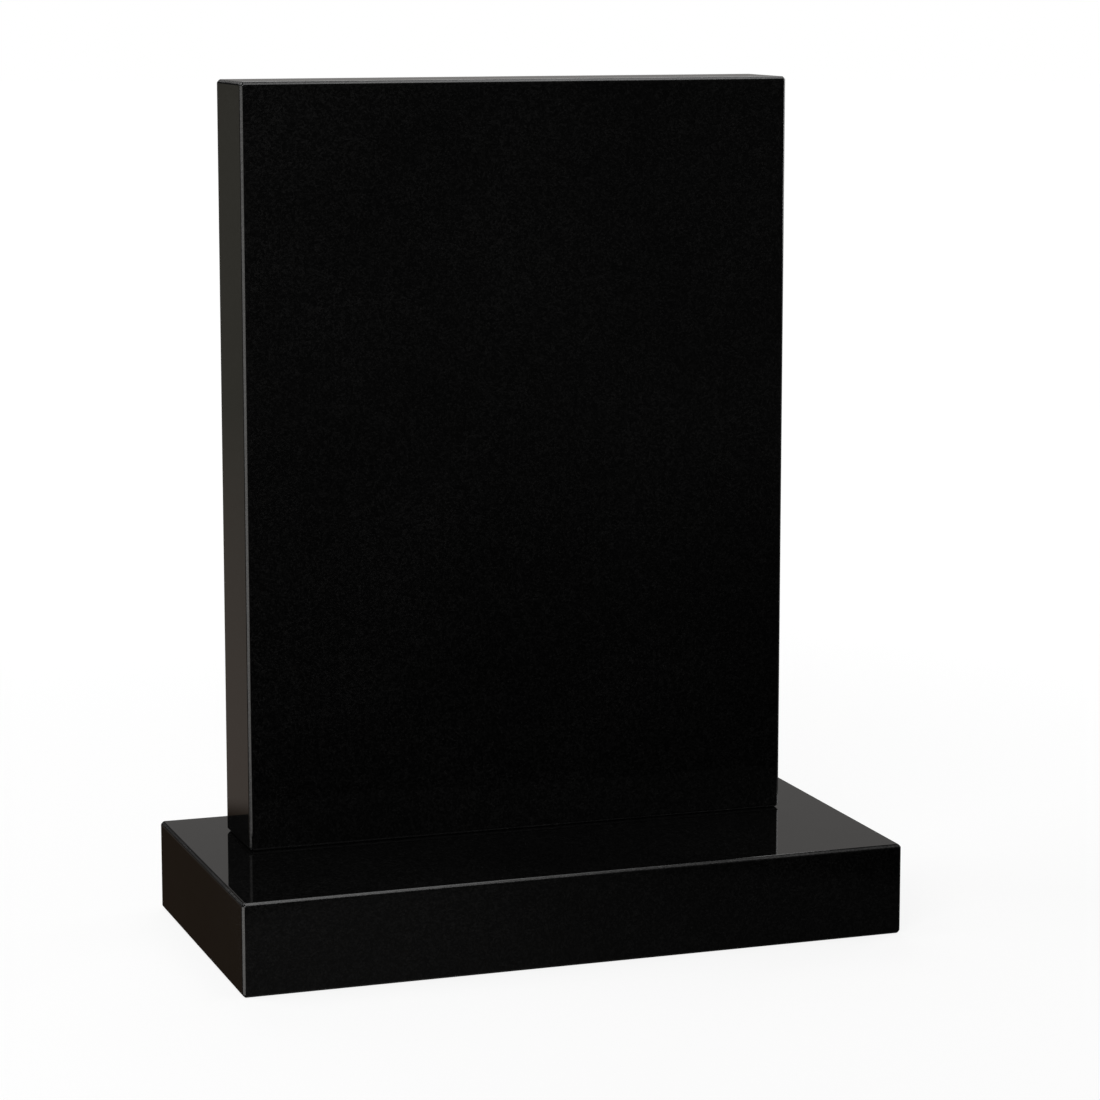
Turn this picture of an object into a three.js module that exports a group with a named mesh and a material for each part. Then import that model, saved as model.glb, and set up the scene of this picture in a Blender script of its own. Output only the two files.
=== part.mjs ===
// An upright granite headstone: a polished rectangular tablet standing on a polished base block.
// Millimetres, +Z up, the inscription face towards -Y, the origin at the middle of the base's underside.

import * as THREE from 'three';

// The tablet
const tabletWidth = 600;
const tabletHeight = 800;
const tabletThickness = 100;

// The base: how far it shows around the tablet's foot, and its height
const baseHeight = 97;
const sideMargin = 58;
const frontLedge = 195;
const backMargin = 65;

// Every corner of both stones has a small flat cut along it, so that it doesn't chip
const tabletArris = 3;
const baseArris = 3;

// The open joint under the tablet's foot
const jointGap = 0.3;

// Sizes and places that follow from these
const baseWidth = tabletWidth + 2 * sideMargin;
const baseDepth = frontLedge + tabletThickness + backMargin;
const tabletFootHeight = baseHeight + jointGap;
const tabletCentreY = baseDepth / 2 - backMargin - tabletThickness / 2;

const polishedBlackGranite = new THREE.MeshStandardMaterial({
  name: 'polished black granite',
  color: 0x101011,
  roughness: 0.08,
  metalness: 0,
});

// A rectangle with its four corners cut off, about its own middle
function cutCornerRectangle(width, depth, cut) {
  const right = width / 2;
  const back = depth / 2;
  const outline = new THREE.Shape();
  outline.moveTo(cut - right, -back);
  outline.lineTo(right - cut, -back);
  outline.lineTo(right, cut - back);
  outline.lineTo(right, back - cut);
  outline.lineTo(right - cut, back);
  outline.lineTo(cut - right, back);
  outline.lineTo(-right, back - cut);
  outline.lineTo(-right, cut - back);
  outline.closePath();
  return outline;
}

// A stone block with a flat cut along all twelve arrises, standing on its own origin
function easedBlock(width, depth, height, arris) {
  const straightHeight = height - 2 * arris;
  const geometry = new THREE.ExtrudeGeometry(cutCornerRectangle(width, depth, arris), {
    depth: straightHeight,
    bevelEnabled: true,
    bevelSegments: 1,
    bevelThickness: arris,
    bevelSize: arris,
    bevelOffset: -arris,
  });
  geometry.translate(0, 0, arris);
  return geometry;
}

// The tablet: one upright slab with flat faces and square corners, eased all round, its foot included
function makeTablet() {
  const geometry = easedBlock(tabletWidth, tabletThickness, tabletHeight, tabletArris);
  const tablet = new THREE.Mesh(geometry, polishedBlackGranite);
  tablet.name = 'tablet';
  tablet.position.set(0, tabletCentreY, tabletFootHeight);
  return tablet;
}

// The base: a low block of the same make, wider than the tablet and far deeper
function makeBase() {
  const geometry = easedBlock(baseWidth, baseDepth, baseHeight, baseArris);
  const base = new THREE.Mesh(geometry, polishedBlackGranite);
  base.name = 'base';
  return base;
}

const headstone = new THREE.Group();
headstone.add(makeBase(), makeTablet());

export default headstone;
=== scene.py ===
import math

import bmesh
import bpy
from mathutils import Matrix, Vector


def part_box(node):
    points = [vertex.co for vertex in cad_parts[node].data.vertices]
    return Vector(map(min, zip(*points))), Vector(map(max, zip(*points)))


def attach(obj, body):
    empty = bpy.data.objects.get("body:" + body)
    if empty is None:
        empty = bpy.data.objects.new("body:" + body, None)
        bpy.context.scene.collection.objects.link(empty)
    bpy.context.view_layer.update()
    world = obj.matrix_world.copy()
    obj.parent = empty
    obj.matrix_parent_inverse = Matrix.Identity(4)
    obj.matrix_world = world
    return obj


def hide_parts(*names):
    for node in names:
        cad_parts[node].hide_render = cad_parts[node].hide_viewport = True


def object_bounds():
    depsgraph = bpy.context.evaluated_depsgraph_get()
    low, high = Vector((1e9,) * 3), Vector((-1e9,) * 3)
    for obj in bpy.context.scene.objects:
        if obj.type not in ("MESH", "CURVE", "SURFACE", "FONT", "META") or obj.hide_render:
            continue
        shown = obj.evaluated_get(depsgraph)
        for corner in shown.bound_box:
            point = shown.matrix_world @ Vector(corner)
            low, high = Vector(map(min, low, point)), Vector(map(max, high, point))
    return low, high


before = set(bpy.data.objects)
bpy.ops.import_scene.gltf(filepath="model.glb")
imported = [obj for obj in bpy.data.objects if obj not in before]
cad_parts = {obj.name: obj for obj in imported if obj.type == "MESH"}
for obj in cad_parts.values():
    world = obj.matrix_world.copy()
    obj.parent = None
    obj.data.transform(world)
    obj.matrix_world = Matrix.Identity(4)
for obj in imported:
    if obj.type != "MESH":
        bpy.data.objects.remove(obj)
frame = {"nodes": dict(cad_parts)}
cadLow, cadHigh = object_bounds()
scene = bpy.context.scene
scene.view_settings.view_transform = "Standard"
print("frame loaded:", ", ".join(frame["nodes"]))


# camera, at the eye point worked out from the photo's edges (metres, degrees)
photoView = {
    "eye": (-1.159, -3.391, 1.004),
    "turn": 19.28,         # to the right of straight ahead
    "tilt": 8.60,          # downwards
    "sensor": 36.0,        # its width in millimetres, like the lens
    "lens": 112.5,
    "shiftY": -0.05,       # keeps the uprights nearly parallel, as in the photo
}


def makeCamera(view):
    data = bpy.data.cameras.new("photoCamera")
    data.sensor_width = view["sensor"]
    data.lens = view["lens"]
    data.shift_y = view["shiftY"]
    camera = bpy.data.objects.new("photoCamera", data)
    camera.location = view["eye"]
    camera.rotation_euler = (math.radians(90 - view["tilt"]), 0, math.radians(-view["turn"]))
    scene.collection.objects.link(camera)
    scene.camera = camera


makeCamera(photoView)
print("camera ready")


# small helpers for node trees; x and y are a node's place in the editor
def addNode(tree, kind, x, y, **settings):
    node = tree.nodes.new(kind)
    node.location = (x, y)
    for key, value in settings.items():
        setattr(node, key, value)
    return node


# a socket takes another node's output, or else a number, a place or a colour
def feed(tree, socket, value):
    if isinstance(value, bpy.types.NodeSocket):
        tree.links.new(value, socket)
    elif socket.type == "RGBA":
        socket.default_value = (*value, 1.0)
    else:
        socket.default_value = value


def addMath(tree, operation, x, y, *values, clamp=False):
    node = addNode(tree, "ShaderNodeMath", x, y, operation=operation, use_clamp=clamp)
    for socket, value in zip(node.inputs, values):
        feed(tree, socket, value)
    return node.outputs[0]


def addVectorMath(tree, operation, x, y, *values):
    node = addNode(tree, "ShaderNodeVectorMath", x, y, operation=operation)
    for socket, value in zip(node.inputs, values):
        feed(tree, socket, value)
    return node.outputs["Value" if operation in ("DISTANCE", "DOT_PRODUCT") else "Vector"]


def addSplit(tree, x, y, vector):
    node = addNode(tree, "ShaderNodeSeparateXYZ", x, y)
    feed(tree, node.inputs[0], vector)
    return node.outputs


def addMix(tree, x, y, factor, first, second):
    node = addNode(tree, "ShaderNodeMix", x, y, data_type="RGBA")
    for index, value in ((0, factor), (6, first), (7, second)):     # 6 and 7 are its two colours
        feed(tree, node.inputs[index], value)
    return node.outputs[2]


def addRange(tree, x, y, value, span, toSpan=(0.0, 1.0), smooth=False):
    node = addNode(tree, "ShaderNodeMapRange", x, y)
    node.interpolation_type = "SMOOTHSTEP" if smooth else "LINEAR"
    for socket, given in zip(node.inputs, (value, *span, *toSpan)):
        feed(tree, socket, given)
    return node.outputs[0]


def addNoise(tree, x, y, where, scale, detail):
    node = addNode(tree, "ShaderNodeTexNoise", x, y)
    feed(tree, node.inputs["Vector"], where)
    feed(tree, node.inputs["Scale"], scale)
    feed(tree, node.inputs["Detail"], detail)
    return node.outputs[0]


# cells, with the distance from each one's middle, and three chance numbers for each cell
def addCells(tree, x, y, where, scale):
    node = addNode(tree, "ShaderNodeTexVoronoi", x, y, feature="F1")
    feed(tree, node.inputs["Vector"], where)
    feed(tree, node.inputs["Scale"], scale)
    chance = addNode(tree, "ShaderNodeSeparateColor", x + 200, y)
    feed(tree, chance.inputs[0], node.outputs["Color"])
    return node.outputs["Distance"], chance.outputs


# small round spots, in the few cells where one of the chance numbers is high enough
def addSpots(tree, x, y, where, spots):
    distance, chance = addCells(tree, x, y, where, spots["scale"])
    rare = addMath(tree, "GREATER_THAN", x + 400, y, chance[spots["chance"]], spots["above"])
    core = addRange(tree, x + 400, y - 200, distance, spots["edge"], (1.0, 0.0))
    return addMath(tree, "MULTIPLY", x + 600, y, rare, core)


def newGroup(name, inputs, outputs):
    tree = bpy.data.node_groups.new(name, "ShaderNodeTree")
    for direction, sockets in (("INPUT", inputs), ("OUTPUT", outputs)):
        for label, kind in sockets.items():
            tree.interface.new_socket(label, in_out=direction, socket_type="NodeSocket" + kind)
    start = addNode(tree, "NodeGroupInput", -1200, 0)
    end = addNode(tree, "NodeGroupOutput", 900, 0)
    return tree, start.outputs, end.inputs


def placeGroup(tree, group, x, y, values):
    node = addNode(tree, "ShaderNodeGroup", x, y, node_tree=group)
    for label, value in values.items():
        feed(tree, node.inputs[label], value)
    return node.outputs


def newMaterial(name):
    material = bpy.data.materials.new(name)
    material.use_nodes = True
    material.node_tree.nodes.clear()
    return material, material.node_tree


# the stone's grain: tightly locked black crystals, grey ones in patches, and rare pale flecks;
# every scale is a number to the metre, and a pair that feeds a noise is its scale and detail
stoneGrain = {
    "crystals": 560.0,              # to the metre, so about 1.8 mm across
    "greySpan": (0.25, 1.0),        # of a crystal's chance number, from black to grey
    "patches": (110.0, 3.0),
    "patchSpan": (0.35, 0.7),
    "patchGrey": (0.55, 1.0),       # how much of the grey shows there
    "clouds": (5.0, 2.0),
    "cloudSpan": (0.3, 0.7),
    "cloudShade": (0.8, 1.2),       # darker and lighter areas
    "flecks": {"scale": 380.0, "chance": 1, "above": 0.975, "edge": (0.15, 0.32)},
}


def makeGrainGroup(values):
    tree, given, result = newGroup(
        "graniteGrain",
        {"Vector": "Vector", "Dark": "Color", "Grey": "Color", "Fleck": "Color"},
        {"Color": "Color", "Crystals": "Float"},
    )
    where = given["Vector"]
    chance = addCells(tree, -900, 200, where, values["crystals"])[1]
    greyPart = addRange(tree, -500, 300, chance[0], values["greySpan"])
    patches = addNoise(tree, -900, -100, where, *values["patches"])
    patchPart = addRange(tree, -500, -50, patches, values["patchSpan"], values["patchGrey"])
    crystals = addMath(tree, "MULTIPLY", -300, 200, greyPart, patchPart)
    stone = addMix(tree, 0, 200, crystals, given["Dark"], given["Grey"])

    clouds = addNoise(tree, -900, -350, where, *values["clouds"])
    cloudPart = addRange(tree, -500, -350, clouds, values["cloudSpan"], values["cloudShade"])
    clouded = addNode(tree, "ShaderNodeVectorMath", 250, 200, operation="SCALE")
    feed(tree, clouded.inputs[0], stone)
    feed(tree, clouded.inputs["Scale"], cloudPart)

    flecks = addSpots(tree, -900, -650, where, values["flecks"])
    feed(tree, result["Color"], addMix(tree, 500, 100, flecks, clouded.outputs[0], given["Fleck"]))
    feed(tree, result["Crystals"], crystals)
    return tree


# the polish: how the gloss varies, and the slight waves and few pits that polishing leaves
stonePolish = {
    "haze": (9.0, 4.0),
    "hazeSpan": (0.35, 0.7),
    "hazeMost": 0.7,                # of the way from the smoothest to the roughest
    "greyMost": 0.3,                # added by the grey crystals
    "waves": (7.0, 1.0),
    "pits": {"scale": 300.0, "chance": 2, "above": 0.975, "edge": (0.0, 0.28)},
}


def makePolishGroup(values):
    tree, given, result = newGroup(
        "stonePolish",
        {"Vector": "Vector", "Crystals": "Float", "Smoothest": "Float", "Roughest": "Float"},
        {"Roughness": "Float", "Wave": "Float", "Pits": "Float"},
    )
    where = given["Vector"]
    haze = addNoise(tree, -900, 200, where, *values["haze"])
    hazePart = addRange(tree, -650, 200, haze, values["hazeSpan"], (0.0, values["hazeMost"]))
    greyPart = addMath(tree, "MULTIPLY", -650, 0, given["Crystals"], values["greyMost"])
    amount = addMath(tree, "ADD", -400, 100, hazePart, greyPart, clamp=True)
    span = addMath(tree, "SUBTRACT", -400, -100, given["Roughest"], given["Smoothest"])
    rougher = addMath(tree, "MULTIPLY", -150, 50, amount, span)
    feed(tree, result["Roughness"], addMath(tree, "ADD", 100, 50, rougher, given["Smoothest"]))
    feed(tree, result["Wave"], addNoise(tree, -900, -300, where, *values["waves"]))
    feed(tree, result["Pits"], addSpots(tree, -900, -600, where, values["pits"]))
    return tree


grainGroup = makeGrainGroup(stoneGrain)
polishGroup = makePolishGroup(stonePolish)
print("grain and polish ready")


# what every finish starts with: the grain, which the offset makes each block's own
def startStone(name, finish, offset):
    material, tree = newMaterial(name)
    coords = addNode(tree, "ShaderNodeTexCoord", -1500, 0)
    shift = addNode(tree, "ShaderNodeMapping", -1300, 0)
    feed(tree, shift.inputs["Vector"], coords.outputs["Object"])
    feed(tree, shift.inputs["Location"], offset)
    where = shift.outputs[0]
    colours = {"Dark": finish["dark"], "Grey": finish["grey"], "Fleck": finish["fleck"]}
    grain = placeGroup(tree, grainGroup, -900, 200, {"Vector": where, **colours})
    shader = addNode(tree, "ShaderNodeBsdfPrincipled", 500, 0)
    feed(tree, shader.inputs["Base Color"], grain["Color"])
    output = addNode(tree, "ShaderNodeOutputMaterial", 850, 0)
    feed(tree, output.inputs["Surface"], shader.outputs[0])
    return material, tree, where, grain, shader


# the gloss of a finish that is polished or rubbed
def addPolish(tree, where, grain, shader, finish):
    gloss = {"Smoothest": finish["smoothest"], "Roughest": finish["roughest"]}
    polish = placeGroup(tree, polishGroup, -500, -200,
                        {"Vector": where, "Crystals": grain["Crystals"], **gloss})
    feed(tree, shader.inputs["Roughness"], polish["Roughness"])
    feed(tree, shader.inputs["IOR"], finish["ior"])
    return polish


# each layer is a height, and its depth in metres and strength
def addBumps(tree, shader, layers):
    normal = None
    for index, (height, (depth, strength)) in enumerate(layers):
        bump = addNode(tree, "ShaderNodeBump", 200, -400 - 200 * index)
        feed(tree, bump.inputs["Height"], height)
        feed(tree, bump.inputs["Distance"], depth)
        feed(tree, bump.inputs["Strength"], strength)
        if normal:
            feed(tree, bump.inputs["Normal"], normal)
        normal = bump.outputs[0]
    feed(tree, shader.inputs["Normal"], normal)


polishedStone = {
    "dark": (0.0017, 0.0017, 0.0017),
    "grey": (0.0086, 0.0085, 0.0084),
    "fleck": (0.026, 0.0255, 0.025),
    "smoothest": 0.022,
    "roughest": 0.05,
    "ior": 1.56,
    "waves": (0.00002, 1.0),        # depth and strength
    "pits": (0.00003, 0.5),
}


# the polished faces
def makePolishedStone(name, offset):
    values = polishedStone
    material, tree, where, grain, shader = startStone(name, values, offset)
    polish = addPolish(tree, where, grain, shader, values)
    pitsDown = addMath(tree, "MULTIPLY", -100, -600, polish["Pits"], -1.0)
    addBumps(tree, shader, [(polish["Wave"], values["waves"]), (pitsDown, values["pits"])])
    return material


easedStone = {
    "dark": (0.032, 0.032, 0.032),
    "grey": (0.064, 0.063, 0.062),
    "fleck": (0.10, 0.098, 0.096),
    "smoothest": 0.22,
    "roughest": 0.34,
    "ior": 1.56,
    "rub": (180.0, 4.0),            # scale and detail
    "rubMarks": (0.00012, 0.6),     # depth and strength
}


# the eased arrises: rubbed by hand with fine stones, so paler and less glossy than the faces
def makeEasedStone(name, offset):
    values = easedStone
    material, tree, where, grain, shader = startStone(name, values, offset)
    addPolish(tree, where, grain, shader, values)
    rub = addNoise(tree, -500, -700, where, *values["rub"])
    addBumps(tree, shader, [(rub, values["rubMarks"])])
    return material


sawnBed = {
    "dark": (0.06, 0.06, 0.06),
    "grey": (0.16, 0.158, 0.155),
    "fleck": (0.3, 0.3, 0.29),
    "sawCentre": (0.2, -1.6, 0.0),  # far outside the stone, so the saw's arcs are wide and shallow
    "ridgeSpacing": 0.006,
    "ridges": (0.00008, 0.5),       # depth and strength
    "grit": (400.0, 5.0),           # scale and detail
    "gritSpan": (0.3, 0.7),
    "gritRoughness": (0.7, 0.95),
    "gritMarks": (0.0004, 0.6),     # depth and strength
}


# the underside of each block: sawn and left matt
def makeSawnStone(name, offset):
    values = sawnBed
    material, tree, where, _, shader = startStone(name, values, offset)
    radius = addVectorMath(tree, "DISTANCE", -700, -300, where, values["sawCentre"])
    turn = addMath(tree, "MULTIPLY", -500, -300, radius, 2 * math.pi / values["ridgeSpacing"])
    ridges = addMath(tree, "SINE", -300, -300, turn)
    grit = addNoise(tree, -500, -600, where, *values["grit"])
    roughness = addRange(tree, 0, -150, grit, values["gritSpan"], values["gritRoughness"])
    feed(tree, shader.inputs["Roughness"], roughness)
    addBumps(tree, shader, [(ridges, values["ridges"]), (grit, values["gritMarks"])])
    return material


# finishes, in the order of a block's material slots
finishes = {"Polished": makePolishedStone, "Eased": makeEasedStone, "Sawn": makeSawnStone}
finishSlots = {finish: slot for slot, finish in enumerate(finishes)}

# how a block is shaped and its faces told apart
blockWork = {
    "rimAngle": 20,         # degrees; what is sharper than this is rounded over
    "levelPart": 0.9999,    # an underside points down at least this much
    "slack": 0.01,          # allowed between the equal parts of a cut's direction
    "flatWeight": 100,      # flat faces set the shading of the roundings beside them
}


def addObject(name, mesh):
    data = bpy.data.meshes.new(name)
    mesh.to_mesh(data)
    mesh.free()
    piece = bpy.data.objects.new(name, data)
    scene.collection.objects.link(piece)
    return piece


def bevelEdges(mesh, edges, offset, steps):
    bmesh.ops.bevel(mesh, geom=edges, offset=offset, offset_type="OFFSET", affect="EDGES",
                    segments=steps, profile=0.5, material=-1)
    mesh.normal_update()


# a cut along an arris points equally along two axes, and one at a corner along all three
def isCut(face, slack):
    least, middle, most = sorted(abs(part) for part in face.normal)
    return most - middle < slack and min(least, middle - least) < slack


# blocks of stone: a flat rubbed cut along each arris, with its two sides rounded over by polishing
def easedBlock(name, low, high, arris):
    mesh = bmesh.new()
    bmesh.ops.create_cube(mesh, size=1.0)
    bmesh.ops.scale(mesh, vec=high - low, verts=mesh.verts)
    bmesh.ops.translate(mesh, vec=(high + low) / 2, verts=mesh.verts)
    bevelEdges(mesh, mesh.edges[:], arris["cut"], 1)
    rimAngle = math.radians(blockWork["rimAngle"])
    rims = [edge for edge in mesh.edges if edge.calc_face_angle() > rimAngle]
    bevelEdges(mesh, rims, arris["roundOver"], arris["steps"])

    for face in mesh.faces:
        face.smooth = True
        if face.normal.z < -blockWork["levelPart"]:
            face.material_index = finishSlots["Sawn"]
        elif isCut(face, blockWork["slack"]):
            face.material_index = finishSlots["Eased"]
    piece = addObject(name, mesh)
    weighted = piece.modifiers.new("flatFaces", "WEIGHTED_NORMAL")
    weighted.weight = blockWork["flatWeight"]
    weighted.keep_sharp = True
    return piece


def finishBlock(piece, offset):
    for finish, makeFinish in finishes.items():
        piece.data.materials.append(makeFinish(piece.name + finish, offset))


# the sizes of each block's arrises, in metres, and where in the grain it was cut
tabletStone = {"cut": 0.003, "roundOver": 0.0009, "steps": 4, "grainOffset": (0.0, 0.0, 0.0)}

tabletPiece = easedBlock("tabletSlab", *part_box("tablet"), tabletStone)
finishBlock(tabletPiece, tabletStone["grainOffset"])
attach(tabletPiece, "root")
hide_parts("tablet")
print("tablet made")

baseStone = {"cut": 0.003, "roundOver": 0.0009, "steps": 4, "grainOffset": (3.7, 1.9, 5.3)}

basePiece = easedBlock("baseBlock", *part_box("base"), baseStone)
finishBlock(basePiece, baseStone["grainOffset"])
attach(basePiece, "root")
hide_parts("base")
print("base made")


# studio: the camera sees white, and the polished faces mirror something else
def splitView(tree, x, y, mirrored, seen, outputKind):
    path = addNode(tree, "ShaderNodeLightPath", x - 250, y + 400)
    choose = addNode(tree, "ShaderNodeMixShader", x, y)
    for socket, value in zip(choose.inputs, (path.outputs["Is Camera Ray"], mirrored, seen)):
        feed(tree, socket, value)
    output = addNode(tree, outputKind, x + 300, y)
    feed(tree, output.inputs["Surface"], choose.outputs[0])


# floor, in metres; a course is the direction from the base's front left corner
studioFloor = {
    "radius": 30.0,
    "sides": 96,
    "glow": (0.84, 1.0),                    # beside the stone, and out of the softboxes' reach
    "glowReach": (0.6, 4.0),
    "shade": (0.20, 0.20, 0.20),            # how strongly softboxes and shadows show on it
    "middle": (0.0, 0.1, 0.0),              # every reach is measured from here
    "nearReach": (0.60, 0.71),
    "farReach": (0.9, 4.5),
    "frontLeftCorner": (-0.36, -0.18, 0.0),
    "behindSpan": (0.5, 0.8),               # how far back a course runs, as a share of it
    "leftCourse": (-0.943, -0.333, 0.0),
    "leftSpan": (0.89, 0.965),              # how closely a course follows that one
    "rightwardSpan": (-0.35, 0.35),         # x, close by
    "outRightSpan": (0.5, 0.75),            # x
    "notFrontSpan": (-0.3, -0.1),           # y
    "nearFront": (0.062, 0.061, 0.060),     # mirrored by the base's front
    "nearRight": (0.020, 0.020, 0.020),     # and by the right-hand end of it
    "nearBack": (0.034, 0.024, 0.0165),     # mirrored by the base's left side
    "front": (0.003, 0.003, 0.003),         # mirrored low on the tablet's front
    "farFront": (0.018, 0.018, 0.018),      # and higher on it
    "back": (0.150, 0.125, 0.108),          # mirrored low on the tablet's left side
    "farBack": (0.088, 0.084, 0.070),       # and higher on it
    "right": (0.085, 0.083, 0.081),         # mirrored by the sides on the right
    "left": (1.45, 1.42, 1.38),             # mirrored by the arrises on the left
}


def makeFloor(values):
    mesh = bmesh.new()
    bmesh.ops.create_circle(mesh, cap_ends=True, segments=values["sides"], radius=values["radius"])
    bmesh.ops.translate(mesh, vec=(0, 0, cadLow.z), verts=mesh.verts)
    floor = addObject("floor", mesh)

    material, tree = newMaterial("paleFloor")
    where = addNode(tree, "ShaderNodeTexCoord", -1700, 0).outputs["Object"]
    x, y, _ = addSplit(tree, -1300, -700, where)
    reach = addVectorMath(tree, "DISTANCE", -1300, 0, where, values["middle"])
    fromCorner = addVectorMath(tree, "SUBTRACT", -1500, -400, where, values["frontLeftCorner"])
    course = addVectorMath(tree, "NORMALIZE", -1300, -400, fromCorner)
    backward = addSplit(tree, -1150, -400, course)["Y"]
    alongLeft = addVectorMath(tree, "DOT_PRODUCT", -1150, -200, course, values["leftCourse"])

    # what the stone mirrors: dark in front and close by, grey behind and right, bright to the left
    away = addRange(tree, -900, 0, reach, values["nearReach"], smooth=True)
    further = addRange(tree, -900, -1000, reach, values["farReach"])
    behind = addRange(tree, -900, -250, backward, values["behindSpan"], smooth=True)
    leftward = addRange(tree, -900, -500, alongLeft, values["leftSpan"], smooth=True)
    rightward = addRange(tree, -900, -750, x, values["rightwardSpan"], smooth=True)
    outRight = addRange(tree, -900, -1250, x, values["outRightSpan"], smooth=True)
    notFront = addRange(tree, -900, -1500, y, values["notFrontSpan"], smooth=True)
    toRight = addMath(tree, "MULTIPLY", -650, -1400, outRight, notFront)

    nearFront = addMix(tree, -650, -700, rightward, values["nearFront"], values["nearRight"])
    near = addMix(tree, -450, -600, behind, nearFront, values["nearBack"])
    farFront = addMix(tree, -650, -1200, further, values["front"], values["farFront"])
    farBack = addMix(tree, -650, -950, further, values["back"], values["farBack"])
    far = addMix(tree, -450, -850, behind, farFront, farBack)
    rings = addMix(tree, -250, -500, away, near, far)
    ground = addMix(tree, -250, -750, toRight, rings, values["right"])
    mirrored = addNode(tree, "ShaderNodeEmission", 100, -300)
    feed(tree, mirrored.inputs["Color"],
         addMix(tree, -100, -300, leftward, ground, values["left"]))

    # what the camera sees: white, with only a soft shade under and beside the stone
    glow = addNode(tree, "ShaderNodeEmission", -200, 100)
    feed(tree, glow.inputs["Strength"],
         addRange(tree, -600, 100, reach, values["glowReach"], values["glow"], smooth=True))
    lit = addNode(tree, "ShaderNodeBsdfDiffuse", -200, -50)
    feed(tree, lit.inputs["Color"], values["shade"])
    pale = addNode(tree, "ShaderNodeAddShader", 50, 50)
    feed(tree, pale.inputs[0], glow.outputs[0])
    feed(tree, pale.inputs[1], lit.outputs[0])
    splitView(tree, 300, 0, mirrored.outputs[0], pale.outputs[0], "ShaderNodeOutputMaterial")
    floor.data.materials.append(material)


# walls and ceiling; each span is a part of the direction in which a place is seen
surround = {
    "white": (1.0, 1.0, 1.0),
    "frontWall": (0.03, 0.03, 0.03),
    "behindSpan": (0.5, 0.8),
    "darkWall": (0.014, 0.014, 0.014),      # behind, on the left
    "backWall": (0.235, 0.228, 0.222),      # behind, on the right
    "backWallSpan": (-0.10, 0.08),          # from the one to the other
    "besideSpan": (0.55, 0.75),
    "sideWall": (0.16, 0.157, 0.154),
    "aboveSpan": (0.32, 0.44),
    "ceiling": (0.06, 0.06, 0.06),
}


def makeSurround(values):
    world = bpy.data.worlds.new("studioSurround")
    scene.world = world
    world.use_nodes = True
    tree = world.node_tree
    tree.nodes.clear()
    where = addNode(tree, "ShaderNodeTexCoord", -1700, 0).outputs["Generated"]
    side, depth, height = addSplit(tree, -1500, 0, where)

    eitherSide = addMath(tree, "ABSOLUTE", -1250, -550, side)
    rightward = addRange(tree, -1250, 200, side, values["backWallSpan"], smooth=True)
    behind = addRange(tree, -1250, -50, depth, values["behindSpan"], smooth=True)
    above = addRange(tree, -1250, -300, height, values["aboveSpan"], smooth=True)
    beside = addRange(tree, -1050, -550, eitherSide, values["besideSpan"], smooth=True)
    back = addMix(tree, -650, 300, rightward, values["darkWall"], values["backWall"])
    frontAndBack = addMix(tree, -550, 100, behind, values["frontWall"], back)
    around = addMix(tree, -400, 0, beside, frontAndBack, values["sideWall"])
    mirrored = addNode(tree, "ShaderNodeBackground", 0, -50)
    feed(tree, mirrored.inputs["Color"],
         addMix(tree, -200, -50, above, around, values["ceiling"]))
    seen = addNode(tree, "ShaderNodeBackground", 0, 150)
    feed(tree, seen.inputs["Color"], values["white"])
    splitView(tree, 250, 0, mirrored.outputs[0], seen.outputs[0], "ShaderNodeOutputWorld")


# softboxes: place, what each faces, width and height, and how bright its face is
softboxes = {
    "overhead": {"place": (0.5, -0.4, 2.8), "aim": (0, 0, 0.4), "size": (1.8, 0.7), "glow": 2.5},
    "frontLeft": {"place": (-1.7, -2.5, 1.9), "aim": (0, 0, 0.5), "size": (2.0, 1.4), "glow": 5.6},
    "highLeft": {"place": (-1.6, 0.5, 2.5), "aim": (0, 0, 0.4), "size": (1.4, 1.4), "glow": 3.2},
    "rightBack": {"place": (2.4, 1.1, 1.4), "aim": (0, 0, 0.55), "size": (1.0, 1.8), "glow": 2.0},
    "highBack": {"place": (0.5, 2.3, 2.3), "aim": (0, 0, 0.4), "size": (2.2, 1.2), "glow": 3.0},
}


def makeSoftbox(name, values):
    data = bpy.data.lights.new(name, "AREA")
    data.shape = "RECTANGLE"
    data.size, data.size_y = values["size"]
    # an area light's power is its face's brightness times its area and pi
    data.energy = values["glow"] * math.pi * values["size"][0] * values["size"][1]
    light = bpy.data.objects.new(name, data)
    light.location = values["place"]
    towards = Vector(values["aim"]) - Vector(values["place"])
    light.rotation_euler = towards.to_track_quat("-Z", "Y").to_euler()
    light.visible_camera = False
    scene.collection.objects.link(light)


makeFloor(studioFloor)
makeSurround(surround)
for boxName, boxValues in softboxes.items():
    makeSoftbox(boxName, boxValues)
print("studio lit")
